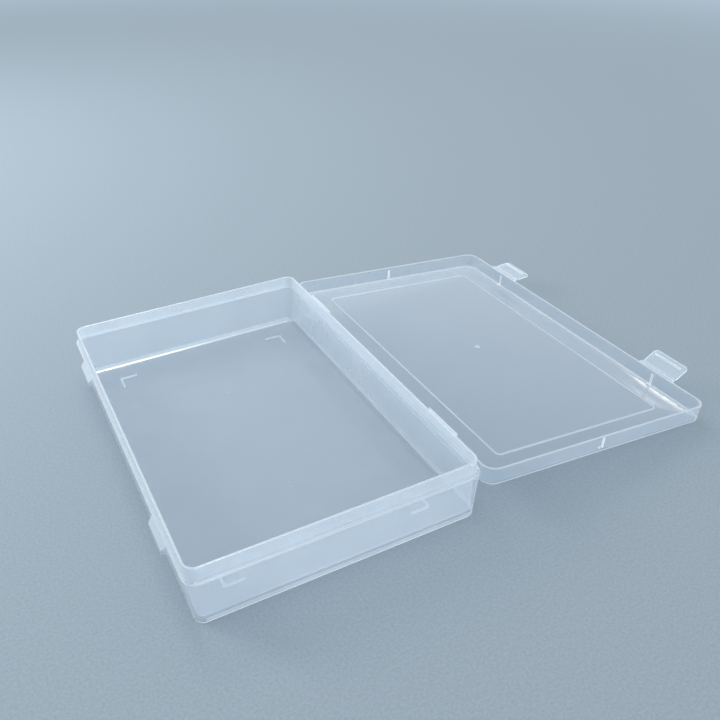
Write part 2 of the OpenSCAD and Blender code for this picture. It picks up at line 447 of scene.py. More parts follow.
@dataclass(frozen=True)
class MouldedPolypropylene:
    """Natural polypropylene, injection moulded, about 1.2 mm thick.

    The eye sees through the flat floor and panel, with a faint blue milkiness on them. The walls leave the
    mould less polished and are milkier, partly as painted light for the light that backlit walls scatter
    forward.
    Rims, steps and ribs are painted paler and more opaque, a painted glow and highlight for the light that
    travels inside the plastic and comes out there. The plastic mirrors about 4 % head-on, as its IOR of 1.49
    gives, and more at a slant.
    """

    name: str = "natural_polypropylene_moulded"
    milk: str = "#E9F3FA"
    # The paler colour below, the edge veil and the edge share of light from behind paint the marked edges: a
    # painted glow and highlight.
    painted_glow_colour: str = "#F6FBFF"
    tint: str = "#F9FCFF"
    veil: float = 0.16
    wall_veil: float = 0.1
    edge_veil: float = 0.8
    slant_veil: float = 0.6
    slant_power: float = 4.0
    shade: float = 0.3
    through: float = 0.5
    edge_through: float = 0.75
    mirror: float = 0.04
    slant_mirror: float = 0.7
    mirror_power: float = 3.7
    roughness: float = 0.17
    rough_share: Sequence[float] = (0.8, 1.3)
    mottle_size: float = 22 * MM
    mottle_reach: Sequence[float] = (0.3, 0.7)
    mottle_share: Sequence[float] = (0.88, 1.12)

    def make(self) -> Material:
        """Builds the material.

        Returns:
            The material.
        """
        material, tree = new_material(self.name)
        place = add_node(tree, "TexCoord", out="Object")
        grain = {"Scale": 1 / self.mottle_size, "Detail": 3.0, "Roughness": 0.55}
        mottle = add_node(tree, "TexNoise", grain, {"Vector": place}, "Fac")
        # Faces marked here are painted paler, more opaque and more lit from behind: a painted glow and
        # highlight for light let out at rims, steps and ribs.
        edge = add_node(tree, "Attribute", {"attribute_name": "painted_edge_light"}, out="Fac")
        slant = add_node(tree, "LayerWeight", {"Blend": 0.5}, out="Facing")
        veil = self.add_veil(tree, mottle, edge, slant)

        # Painted glow: marked faces mix towards the paler colour and take more light from behind.
        tones = {"data_type": "RGBA", 6: linear(self.milk), 7: linear(self.painted_glow_colour)}
        colour = add_node(tree, "Mix", tones, {0: edge}, 2)
        diffuse = add_node(tree, "BsdfDiffuse", {}, {"Color": colour})
        through = add_node(tree, "BsdfTranslucent", {}, {"Color": colour})
        forward = add_node(
            tree, "MapRange", {"To Min": self.through, "To Max": self.edge_through}, {"Value": edge}
        )
        milk = add_node(tree, "MixShader", {}, {0: forward, 1: diffuse, 2: through})
        clear = add_node(tree, "BsdfTransparent", {"Color": linear(self.tint)})
        sheet = add_node(tree, "MixShader", {}, {0: veil, 1: clear, 2: milk})

        rough = self.add_spread(tree, mottle, *(self.roughness * share for share in self.rough_share))
        gloss = add_node(tree, "BsdfAnisotropic", {}, {"Roughness": rough})
        mirror = add_node(tree, "Math", {"operation": "POWER", 1: self.mirror_power}, {0: slant})
        gain = {"operation": "MULTIPLY_ADD", 1: self.slant_mirror, 2: self.mirror}
        mirror = add_node(tree, "Math", gain, {0: mirror})
        surface = add_node(tree, "MixShader", {}, {0: mirror, 1: sheet, 2: gloss})
        add_node(tree, "OutputMaterial", {}, {"Surface": surface})
        return material

    def add_spread(self, tree: NodeTree, mottle: NodeSocket, low: float, high: float) -> NodeSocket:
        """Spreads the mottle noise over the values from low to high."""
        spread = dict(zip(("From Min", "From Max", "To Min", "To Max"), (*self.mottle_reach, low, high)))
        return add_node(tree, "MapRange", spread, {"Value": mottle})

    def add_veil(self, tree: NodeTree, mottle: NodeSocket, edge: NodeSocket, slant: NodeSocket) -> NodeSocket:
        """Works out how much of what is behind a face the milk hides. It stops less light than it hides.

        Args:
            tree: The material's node tree.
            mottle: The noise that makes the milk a little patchy.
            edge: How much painted light the face shows; it also makes the face more opaque.
            slant: How slanting the face is seen.

        Returns:
            0 where the plastic is clear, up to 1 where it is opaque.
        """
        # Upright faces get more milk: partly real frosting, partly painted light for backlit walls.
        wall = add_node(tree, "Attribute", {"attribute_name": "wall_frost_and_painted_light"}, out="Fac")
        milk = {"operation": "MULTIPLY_ADD", 1: self.wall_veil, 2: self.veil}
        veil = add_node(tree, "Math", milk, {0: wall})
        patchy = self.add_spread(tree, mottle, *self.mottle_share)
        veil = add_node(tree, "Math", {"operation": "MULTIPLY"}, {0: veil, 1: patchy})
        grazing = add_node(tree, "Math", {"operation": "POWER", 1: self.slant_power}, {0: slant})
        slanting = {"operation": "MULTIPLY_ADD", 1: self.slant_veil}
        veil = add_node(tree, "Math", slanting, {0: grazing, 2: veil})
        # Faces with painted edge light are made more opaque, part of their painted glow.
        piped = {"operation": "MULTIPLY_ADD", 1: self.edge_veil, "use_clamp": True}
        veil = add_node(tree, "Math", piped, {0: edge, 2: veil})
        rays = [add_node(tree, "LightPath", out=f"Is {kind} Ray") for kind in ("Shadow", "Diffuse")]
        lamp_ray = add_node(tree, "Math", {"operation": "MAXIMUM"}, dict(enumerate(rays)))
        share = add_node(tree, "MapRange", {"To Min": 1.0, "To Max": self.shade}, {"Value": lamp_ray})
        return add_node(tree, "Math", {"operation": "MULTIPLY"}, {0: veil, 1: share})


@dataclass(frozen=True)
class BentFilm(MouldedPolypropylene):
    """The same polypropylene drawn thin at the hinge, whitened and made cloudy by bending."""

    name: str = "polypropylene_film_bent_white"
    milk: str = "#F4F9FD"
    veil: float = 0.46


@dataclass(frozen=True)
class BackdropPaper:
    """Matt studio paper, pale blue-grey with painted light and shade, and a fine fibre that makes it look
    soft.

    Its colour is painted darker near a point behind the case and paler far from it, a painted fall of light.
    The fibre is drawn coarser than real paper's, which would be too fine to show.
    """

    name: str = "backdrop_paper_matt"
    colour: str = "#9EACB7"
    fibre: str = "#91A0AB"
    fibre_size: float = 1.3 * MM
    # The next five numbers set the painted fall of light: darker near the centre point, paler with distance
    # from it, up to a cap.
    painted_light_near: float = 0.7
    painted_light_gain: float = 0.087
    painted_light_power: float = 3.4
    painted_light_centre: Sequence[float] = (-0.1, 0.38, 0.0)
    painted_light_cap: float = 1.45

    def make(self) -> Material:
        """Builds the material.

        Returns:
            The material.
        """
        material, tree = new_material(self.name)
        place = add_node(tree, "TexCoord", out="Object")
        fibres = {"Scale": 1 / self.fibre_size, "Detail": 4.0, "Roughness": 0.65}
        grain = add_node(tree, "TexNoise", fibres, {"Vector": place}, "Fac")
        grain = add_node(tree, "MapRange", {"From Min": 0.35, "From Max": 0.65}, {"Value": grain})
        tones = {"data_type": "RGBA", 6: linear(self.fibre), 7: linear(self.colour)}
        colour = add_node(tree, "Mix", tones, {0: grain}, 2)
        # Painted light and shade: the colour's value grows with distance from the centre point.
        away = add_node(
            tree, "VectorMath", {"operation": "DISTANCE", 1: self.painted_light_centre}, {0: place}, "Value"
        )
        away = add_node(tree, "Math", {"operation": "POWER", 1: self.painted_light_power}, {0: away})
        paler = {"operation": "MULTIPLY_ADD", 1: self.painted_light_gain, 2: self.painted_light_near}
        painted_light_level = add_node(tree, "Math", paler, {0: away})
        painted_light_level = add_node(tree, "Math", {"operation": "MINIMUM", 1: self.painted_light_cap}, {0: painted_light_level})
        colour = add_node(tree, "HueSaturation", {}, {"Value": painted_light_level, "Color": colour})
        matt = {"Roughness": 0.9, "Specular IOR Level": 0.2}
        surface = add_node(tree, "BsdfPrincipled", matt, {"Base Color": colour})
        add_node(tree, "OutputMaterial", {}, {"Surface": surface})
        return material


# The case


@dataclass(frozen=True)
class Case:
    """Sizes in metres that the tray, lid, hinge and latches share, and the lid's droop in degrees."""

    length: float = 235 * MM
    width: float = 151 * MM
    corner: float = 7.5 * MM
    shoulder: float = 27.4 * MM
    band: float = 7.7 * MM
    closing_gap: float = 0.1 * MM
    rim_gap: float = 1.7 * MM
    hinge_gap: float = 1.9 * MM
    droop: float = 4.8
    latch_inset: float = 40.5 * MM
    latch_length: float = 26 * MM
    strap_inset: float = 42.5 * MM
    gate_radius: float = 1.6 * MM
    gate_depth: float = 0.3 * MM
    corner_segments: int = 16

    @property
    def hinge(self) -> Vector:
        """Point on the hinge axis in the middle of the case."""
        return Vector((self.width / 2 + self.hinge_gap / 2, 0, self.shoulder + self.closing_gap))

    @property
    def latch_y(self) -> float:
        """Distance of each latch from the middle."""
        return self.length / 2 - self.latch_inset

    @property
    def strap_y(self) -> float:
        """Distance of each hinge strap from the middle."""
        return self.length / 2 - self.strap_inset

    def lay_on_lid(self, obj: Object) -> None:
        """Takes a mesh from the lid's own frame to its place on the opened lid."""
        shift(obj, self.hinge)
        turn_about_y(obj, self.droop, self.hinge)

    def gate(self, x: float, y: float, face: float) -> Object:
        """Models the cutter of a round moulding gate mark in a level face.

        Args:
            x: Place of the mark along X.
            y: Place of the mark along Y.
            face: Height of the face.

        Returns:
            The cutter.
        """
        middle = (x, y, face - self.gate_depth + PAST)
        bpy.ops.mesh.primitive_cylinder_add(radius=self.gate_radius, depth=2 * PAST, location=middle)
        return settle("gate")


@dataclass(frozen=True)
class TrayLook:
    """How milky each place on the tray is, and how much painted light it shows, as shares of the plastic's
    own.
    """

    # Shares of milk. The fillet by the hinge and the far wall are made clearer, and so darker: painted shade.
    # The band and a strip at the outer wall's foot are made milkier, and so lighter: painted light. The
    # catches are made clear.
    clear: float = -1.0
    wall: float = 0.5
    band: float = 1.4
    foot: float = 3.0
    far_wall: float = -0.4
    # Shares of painted light: rims, the ledge, the inner step, the glow strip, base edges, catches and corner
    # marks are painted paler, a painted glow and highlight; the base edge by the hinge gets little.
    rim: float = 1.0
    side_rim: float = 0.75
    ledge: float = 0.6
    inner_step: float = 0.25
    glow: float = 0.3
    base_edge: float = 1.0
    hinge_base_edge: float = 0.1
    catch: float = 0.05
    catch_edge: float = 0.4
    mark: float = 0.9


@dataclass
class Tray:
    """Drafted tray with a shoulder ledge and an inset band, two catches, corner marks and gate marks."""

    case: Case
    look: TrayLook = TrayLook()
    ledge: float = 1.5 * MM
    band_wall: float = 1.2 * MM
    band_lean: float = 0.15 * MM
    floor: float = 1.3 * MM
    wall_lean: float = 2.5 * MM
    cavity_lean: float = 1.0 * MM
    fillet: float = 3.3 * MM
    base_edge: float = 0.9 * MM
    rim_edge: float = 0.35 * MM
    shoulder_edge: float = 0.2 * MM
    parting_land: float = 0.2 * MM
    # The inner step and the strips under the shoulder and at the wall's foot are cut to carry painted light.
    inner_step: float = 0.4 * MM
    glow: float = 0.9 * MM
    foot: float = 2.6 * MM
    mark_half: Sequence[float] = (55 * MM, 99 * MM)
    mark_width: float = 1.4 * MM
    mark_leg: float = 11 * MM
    mark_depth: float = 0.6 * MM
    mark_bends: Sequence[tuple[float, int]] = ((3.6 * MM, 6), (2.2 * MM, 5))
    gate_y: float = 50 * MM
    catch_reach: float = 2.6 * MM
    catch_slope: float = 3.8 * MM
    catch_nose: float = 2.2 * MM
    catch_cut_back: float = 2.4 * MM
    catch_edge: float = 0.3 * MM
    catch_setback: float = 0.4 * MM
    catch_drop: float = 0.05 * MM
    catch_root: float = 1.2 * MM
    catch_face: float = 0.8
    # Zones that pick out the faces given painted light and painted shade.
    wall_zone: float = 8 * MM
    rim_zone: float = 4 * MM
    ledge_zone: float = 0.45 * MM
    glow_zone: Sequence[float] = (-1.4 * MM, -0.7 * MM)
    edge_turn: Sequence[float] = (0.05, 0.995)
    fillet_turn: float = 0.1

    def build(self) -> Object:
        """Models the tray.

        Returns:
            The tray's mesh object.
        """
        case = self.case
        rim = case.shoulder + case.band
        half_x, half_y = case.width / 2, case.length / 2
        slab_low = case.shoulder - self.shoulder_edge - self.parting_land
        tray = rounded_slab(
            "tray_shell",
            (-half_x, -half_y, slab_low),
            (half_x, half_y, slab_low + self.parting_land),
            case.corner,
            case.corner_segments,
        )
        rim_land = self.band_wall - self.band_lean - 2 * self.rim_edge
        drop = rim - self.rim_edge - self.floor - self.fillet
        to_step = rim - self.rim_edge - case.shoulder
        step = self.inner_step
        wall = slab_low - self.base_edge
        # The outer wall is cut into a strip under the shoulder, the wall and a strip at its foot, which carry
        # painted light.
        parts = (self.glow, wall - self.glow - self.foot, self.foot)
        outside = [(self.wall_lean * part / wall, part) for part in parts]
        step_face(tray, False, [*outside, *convex_arc(self.base_edge, steps=5)])
        # The inner wall is cut at the shoulder's height into a thin step, which carries painted light.
        parts = (to_step - step / 2, step, drop - to_step - step / 2)
        inside = [(self.cavity_lean * part / drop, -part) for part in parts]
        step_face(
            tray,
            True,
            [
                *convex_arc(self.shoulder_edge, steps=3),
                (self.ledge - self.shoulder_edge, 0),
                (self.band_lean, case.band - self.rim_edge),
                *convex_arc(self.rim_edge, steps=4),
                (rim_land, 0),
                *rolled_over(self.rim_edge, steps=4),
                *inside,
                *concave_arc(self.fillet, steps=8),
            ],
        )
        for side in Side:
            work_in(tray, self.catch(side), Cut.JOIN)
            work_in(tray, case.gate(0, side.value * self.gate_y, self.floor), Cut.REMOVE)
            for sign_x in (-1, 1):
                work_in(tray, self.corner_mark(sign_x, side), Cut.REMOVE)
        finish_mesh(tray)
        mark_faces(tray, "painted_edge_light", self.painted_edge_light)
        mark_faces(tray, "wall_frost_and_painted_light", self.frost_and_painted_light)
        return tray

    def frost_and_painted_light(self, centre: Vector, normal: Vector) -> float:
        """Says how milky a tray face is, with painted light: the band above the shoulder is milkier than the
        wall below.

        Args:
            centre: The face's middle.
            normal: The face's normal.

        Returns:
            0 for the floor, more for the walls, and less for the catches and the fillet by the hinge.
        """
        in_fillet = within(centre.z - self.floor, (MARGIN, self.fillet - MARGIN))
        # Catches are made clear; so is the fillet by the hinge, which paints a darker line there: painted
        # shade.
        if centre.x < -self.case.width / 2 - MARGIN or (in_fillet and normal.x < -self.fillet_turn):
            return self.look.clear
        # A strip at the outer wall's foot and the band above the shoulder are made milkier, and so lighter:
        # painted light.
        if centre.z < self.base_edge + self.foot and abs(normal.z) < STEEP:
            share = self.look.foot
        elif centre.z > self.case.shoulder - self.ledge_zone:
            share = self.look.band
        else:
            # The far wall's inner face is made clearer, and so darker: painted shade.
            share = self.look.far_wall if normal.y < -FACING and centre.y > 0 else self.look.wall
        return share * wall_frost_and_painted_light(normal)

    def catch(self, side: Side) -> Object:
        """Models one wedge catch: a sloping top, an upright nose and cut-back ends.

        Args:
            side: The end of the case that it is at.

        Returns:
            The catch, running a little into the wall.
        """
        case = self.case
        half = case.latch_length / 2 - self.catch_setback
        wall = -case.width / 2
        nose = wall - self.catch_reach
        top = case.shoulder - self.catch_drop
        low = case.shoulder - self.catch_slope - self.catch_nose
        middle = side.value * case.latch_y
        root = wall + self.catch_root
        catch = add_block("catch", (nose, middle - half, low), (root, middle + half, top))
        with editing(catch):
            pick_faces(lambda centre, normal: normal.x < -FACING)
            share = (half - self.catch_cut_back) / half
            bpy.ops.transform.resize(value=(1, share, 1), center_override=(nose, middle, low))
        with editing(catch, "EDGE"):
            pick_edges(lambda a, b: max(a.x, b.x) < nose + TINY and min(a.z, b.z) > top - TINY)
            bpy.ops.transform.translate(value=(0, 0, self.catch_drop - self.catch_slope))
        bevel_edges(catch, lambda a, b: max(a.x, b.x) < nose + TINY, self.catch_edge, segments=3)
        return catch

    def corner_mark(self, sign_x: int, side: Side) -> Object:
        """Models the cutter of one L-shaped corner mark under the floor.

        Args:
            sign_x: -1 for the catches' side, 1 for the hinge's side.
            side: The end of the case that it is at.

        Returns:
            The cutter.
        """
        out_x = self.mark_half[0] + self.mark_width / 2
        out_y = self.mark_half[1] + self.mark_width / 2
        mark = add_block(
            "corner_mark",
            (out_x - self.mark_leg, out_y - self.mark_width, -PAST),
            (out_x, out_y, self.mark_depth),
        )
        with editing(mark):
            bpy.ops.mesh.select_all(action="SELECT")
            bpy.ops.mesh.bisect(plane_co=(out_x - self.mark_width, 0, 0), plane_no=(1, 0, 0))
            pick_faces(lambda centre, normal: normal.y < -FACING and centre.x > out_x - self.mark_width)
            bpy.ops.mesh.extrude_region_move(
                TRANSFORM_OT_translate={"value": (0, self.mark_width - self.mark_leg, 0)}
            )
        bends = (Vector((out_x, out_y)), Vector((out_x - self.mark_width, out_y - self.mark_width)))
        for bend, (radius, segments) in zip(bends, self.mark_bends):
            bevel_edges(
                mark, lambda a, b: is_upright(a, b) and (a.xy - bend).length < TINY, radius, segments
            )
        mark.scale = (sign_x, side.value, 1)
        keep_place(mark)
        with editing(mark):
            bpy.ops.mesh.select_all(action="SELECT")
            bpy.ops.mesh.normals_make_consistent(inside=False)
        return mark

    def painted_edge_light(self, centre: Vector, normal: Vector) -> float:
        """Says how much painted light a face of the tray shows, a painted glow and highlight on its edges.

        Args:
            centre: The face's middle.
            normal: The face's normal.

        Returns:
            0 for a plain wall, up to 1 for a rim.
        """
        case, look = self.case, self.look
        half_x, half_y = case.width / 2, case.length / 2
        out = max(abs(centre.x) - half_x, abs(centre.y) - half_y)
        from_shoulder = centre.z - case.shoulder
        # Rims are painted paler; the long rims get less painted light than the short ones.
        if from_shoulder > case.band - self.rim_edge - SLACK and abs(normal.z) > TILTED:
            return look.side_rim if abs(centre.x) > half_x - self.rim_zone else look.rim
        if abs(from_shoulder) < self.ledge_zone and out > -self.ledge - MARGIN:
            return look.ledge
        if abs(from_shoulder) < MARGIN and abs(normal.z) < UPRIGHT:
            return look.inner_step
        if abs(normal.z) < UPRIGHT and within(from_shoulder, self.glow_zone):
            return look.glow
        if centre.z < self.base_edge and within(-normal.z, self.edge_turn):
            # By the hinge the base edge gets little painted light, so it stays darker there.
            by_hinge = centre.x > half_x - self.wall_zone and abs(normal.x) > SIDEWAYS
            return look.hinge_base_edge if by_hinge else look.base_edge
        if centre.x < -half_x - MARGIN:
            return look.catch if max(abs(v) for v in normal) > self.catch_face else look.catch_edge
        in_mark = within(centre.z, (SLACK, self.mark_depth + SLACK))
        if in_mark and abs(centre.x) < half_x - self.wall_zone:
            return look.mark
        return 0.0


@dataclass(frozen=True)
class LidLook:
    """How milky each place on the lid is, and how much painted light it shows, as shares of the plastic's
    own.
    """

    # panel and wall are shares of milk, the walls' partly painted light; the rest are shares of painted
    # light, a painted glow and highlight on the gate mark, rims, flanges, bead, panel edge and ribs.
    panel: float = -1.1
    wall: float = 0.6
    gate: float = 0.6
    gate_edge: float = 1.0
    rim: float = 0.7
    flange: float = 0.3
    flange_edge: float = 0.9
    bead: float = 1.0
    panel_edge: float = 0.3
    panel_edge_gain: float = 1.2
    rib: float = 1.0


@dataclass
class Lid:
    """Skirted lid with a dished panel, a bead round the dish, ribs, a gate mark and two latch flanges."""

    case: Case
    look: LidLook = LidLook()
    panel: float = 1.1 * MM
    skirt_wall: float = 1.2 * MM
    skirt_lean: float = 0.4 * MM
    panel_edge: float = 1.4 * MM
    skirt_fillet: float = 0.5 * MM
    skirt_edge: float = 0.25 * MM
    parting_land: float = 0.2 * MM
    bead_half: Sequence[float] = (56 * MM, 99.5 * MM)
    bead_width: float = 1.3 * MM
    bead_rise: float = 0.35 * MM
    bead_edge: float = 0.2 * MM
    bead_corner: float = 3.4 * MM
    field_rise: float = 2.6 * MM
    field_border: float = 0.6 * MM
    slope_start: float = 3.5 * MM
    rib_width: float = 1.8 * MM
    rib_rise: float = 0.2 * MM
    rib_setback: float = 1.8 * MM
    rib_zone: float = 4.5 * MM
    rib_segments: int = 22
    foot_reach: float = 3.0 * MM
    foot_root: float = 0.5 * MM
    foot_sunk: float = 0.4 * MM
    foot_rise: float = 1.4 * MM
    foot_half: float = 1.26 * MM
    foot_top_reach: float = 1.0 * MM
    foot_top_share: float = 0.45
    flange_width: float = 2.8 * MM
    flange_thickness: float = 1.2 * MM
    flange_root: float = 0.6 * MM
    flange_drop: float = 0.02 * MM
    flange_edge: float = 0.2 * MM
    sunk: float = 0.3 * MM
    edge_turn: Sequence[float] = (0.1, 0.99)

    @property
    def depth(self) -> float:
        """Height of the lid from its skirt edge to the outside of its panel."""
        return self.case.band - self.case.closing_gap + self.case.rim_gap + self.panel

    @property
    def middle_x(self) -> float:
        """Distance of the lid's middle from the fold line."""
        return self.case.hinge_gap / 2 + self.case.width / 2

    @property
    def far_x(self) -> float:
        """Distance of the latch-side skirt from the fold line."""
        return self.case.hinge_gap / 2 + self.case.width

    def build(self) -> Object:
        """Models the lid in its own frame and lays it down at its angle.

        Returns:
            The lid's mesh object.
        """
        case = self.case
        low_x, half_y = case.hinge_gap / 2, case.length / 2
        top = -self.skirt_edge
        lid = rounded_slab(
            "lid_shell",
            (low_x, -half_y, top - self.parting_land),
            (self.far_x, half_y, top),
            case.corner,
            case.corner_segments,
        )
        inner_lean = self.skirt_lean / 2
        run = self.depth - self.panel_edge + top - self.parting_land
        step_face(lid, False, [(self.skirt_lean, run), *convex_arc(self.panel_edge, steps=7)])
        step_face(
            lid,
            True,
            [
                *convex_arc(self.skirt_edge, steps=3),
                (self.skirt_wall - 2 * self.skirt_edge, 0),
                *rolled_over(self.skirt_edge, steps=3),
                (inner_lean, -(self.depth - self.panel - self.skirt_edge - self.skirt_fillet)),
                *concave_arc(self.skirt_fillet, steps=4),
            ],
        )
        work_in(lid, self.dish(self.panel - self.depth), Cut.JOIN)
        work_in(lid, self.dish(-self.depth), Cut.REMOVE)
        work_in(lid, self.bead(), Cut.JOIN)
        for side in Side:
            work_in(lid, self.flange(side), Cut.JOIN)
            for rib in self.ribs(side):
                work_in(lid, rib, Cut.JOIN)
        work_in(lid, case.gate(self.middle_x, 0, self.panel - self.depth + self.field_rise), Cut.REMOVE)
        finish_mesh(lid)
        mark_faces(lid, "painted_edge_light", self.painted_edge_light)
        mark_faces(lid, "wall_frost_and_painted_light", self.frost_and_painted_light)
        case.lay_on_lid(lid)
        return lid

    def frost_and_painted_light(self, centre: Vector, normal: Vector) -> float:
        """Milk of a lid face: the lid is thinner than the tray, and so clearer; the walls' milk is partly
        painted light.
        """
        return self.look.wall * wall_frost_and_painted_light(normal) + self.look.panel

    def dish(self, foot: float) -> Object:
        """Models the low block with four sloping sides that dishes the panel.

        Args:
            foot: Height at which its slopes meet the panel's inner or outer face.

        Returns:
            The block, running a little below that face.
        """
        edge = [half + self.field_border for half in self.bead_half]
        outer = (self.case.width / 2 - self.slope_start, self.case.length / 2 - self.slope_start)
        base = [o + (o - e) * self.sunk / self.field_rise for o, e in zip(outer, edge)]
        top = foot + self.field_rise
        block = add_block(
            "dish",
            (self.middle_x - base[0], -base[1], foot - self.sunk),
            (self.middle_x + base[0], base[1], top),
        )
        with editing(block):
            pick_faces(lambda centre, normal: normal.z > FACING)
            bpy.ops.transform.resize(
                value=(edge[0] / base[0], edge[1] / base[1], 1), center_override=(self.middle_x, 0, top)
            )
        return block

    def bead(self) -> Object:
        """Models the raised bead rectangle on the outside of the panel.

        Returns:
            The bead, running a little into the panel.
        """
        out_x = self.bead_half[0] + self.bead_width / 2
        out_y = self.bead_half[1] + self.bead_width / 2
        low = self.field_rise - self.depth - self.bead_rise
        bead = rounded_slab(
            "bead",
            (self.middle_x - out_x, -out_y, low),
            (self.middle_x + out_x, out_y, low + self.bead_rise + self.sunk),
            self.bead_corner,
            segments=8,
        )
        with editing(bead):
            pick_faces(lambda centre, normal: abs(normal.z) > FACING)
            bpy.ops.mesh.inset(thickness=self.bead_width, depth=0, use_even_offset=True, use_boundary=True)
            bpy.ops.mesh.bridge_edge_loops()
        bevel_edges(bead, lambda a, b: max(a.z, b.z) < low + TINY, self.bead_edge, segments=2)
        return bead

    def flange(self, side: Side) -> Object:
        """Models the flange that carries one latch.

        Args:
            side: The end of the case that it is at.

        Returns:
            The flange, running a little into the skirt.
        """
        middle, half = side.value * self.case.latch_y, self.case.latch_length / 2
        flange = add_block(
            "flange",
            (self.far_x - self.flange_root, middle - half, -self.flange_thickness),
            (self.far_x + self.flange_width, middle + half, -self.flange_drop),
        )
        bevel_edges(flange, lambda a, b: min(a.x, b.x) > self.far_x, self.flange_edge, segments=2)
        return flange

    def rib(self, name: str) -> Object:
        """Models one low rounded rib that leans with the skirt, with a wedge foot on the panel, facing -X.

        Args:
            name: Name of the rib.

        Returns:
            The rib, upright at the skirt edge's inner line.
        """
        foot = -(self.depth - self.panel) - self.panel / 2
        depth = 2 * self.rib_rise
        breadth = self.rib_width / math.sqrt(3)
        bpy.ops.mesh.primitive_cylinder_add(
            vertices=self.rib_segments,
            radius=1,
            depth=1,
            location=(self.rib_rise, 0, (foot - self.rib_setback) / 2),
            scale=(depth, breadth, -foot - self.rib_setback),
        )
        rib = settle(name)
        lean = math.degrees(math.atan2(self.skirt_lean / 2, self.depth - self.panel - self.skirt_fillet))
        turn_about_y(rib, lean, Vector((0, 0, 0)))
        panel = self.panel - self.depth
        wedge = add_block(
            "wedge_foot",
            (-self.foot_reach, -self.foot_half, panel - self.foot_sunk),
            (self.foot_root, self.foot_half, panel + self.foot_rise),
        )
        with editing(wedge, "EDGE"):
            pick_edges(lambda a, b: max(a.x, b.x) < 0 and min(a.z, b.z) > panel)
            bpy.ops.transform.translate(value=(self.foot_reach - self.foot_top_reach, 0, 0))
            bpy.ops.transform.resize(value=(1, self.foot_top_share, 1), center_override=(0, 0, 0))
        work_in(rib, wedge, Cut.JOIN)
        return rib

    def ribs(self, side: Side) -> Iterator[Object]:
        """Places a grip rib behind one latch, and one inside the middle of the short skirt at the same end.

        Args:
            side: The end of the case that they are at.

        Yields:
            Each rib.
        """
        rib = self.rib("latch_rib")
        shift(rib, (self.far_x - self.skirt_wall, side.value * self.case.latch_y, 0))
        yield rib
        rib = self.rib("end_rib")
        rib.rotation_euler = (0, 0, side.value * math.pi / 2)
        shift(rib, (self.middle_x, side.value * (self.case.length / 2 - self.skirt_wall), 0))
        yield rib

    def painted_edge_light(self, centre: Vector, normal: Vector) -> float:
        """Says how much painted light a face of the lid shows, a painted glow and highlight on its edges.

        Args:
            centre: The face's middle, in the lid's own frame.
            normal: The face's normal.

        Returns:
            0 for a plain wall, up to 1 for a rim.
        """
        case, look = self.case, self.look
        half_x, half_y = case.width / 2, case.length / 2
        inner_z = self.panel - self.depth
        field_z = inner_z + self.field_rise
        off_gate = math.hypot(centre.x - self.middle_x, centre.y)
        if within(centre.z - field_z, (-case.gate_depth - SLACK, -SLACK)) and off_gate < case.gate_radius:
            return look.gate if abs(normal.z) > STEEP else look.gate_edge
        out = max(abs(centre.x - self.middle_x) - half_x, abs(centre.y) - half_y)
        if centre.z > -self.skirt_edge - SLACK and out < MARGIN and abs(normal.z) > TILTED:
            return look.rim
        if out > MARGIN:
            return look.flange if abs(normal.z) > LEVEL else look.flange_edge
        if within(centre.z - field_z + self.panel, (-self.bead_rise - SLACK, -SLACK)):
            return look.bead
        if centre.z < -self.depth + self.panel_edge and within(-normal.z, self.edge_turn):
            return min(1.0, look.panel_edge + look.panel_edge_gain * abs(normal.z))
        at_end = abs(centre.x - self.middle_x) < self.rib_width and abs(centre.y) > half_y - self.rib_zone
        at_side = abs(abs(centre.y) - case.latch_y) < self.rib_width
        at_latch = at_side and centre.x > self.far_x - self.rib_zone
        side_on = (at_end and abs(normal.x) > SIDEWAYS) or (at_latch and abs(normal.y) > SIDEWAYS)
        if side_on and within(centre.z, (inner_z - MARGIN, MARGIN - self.rib_setback)):
            return look.rib
        return 0.0


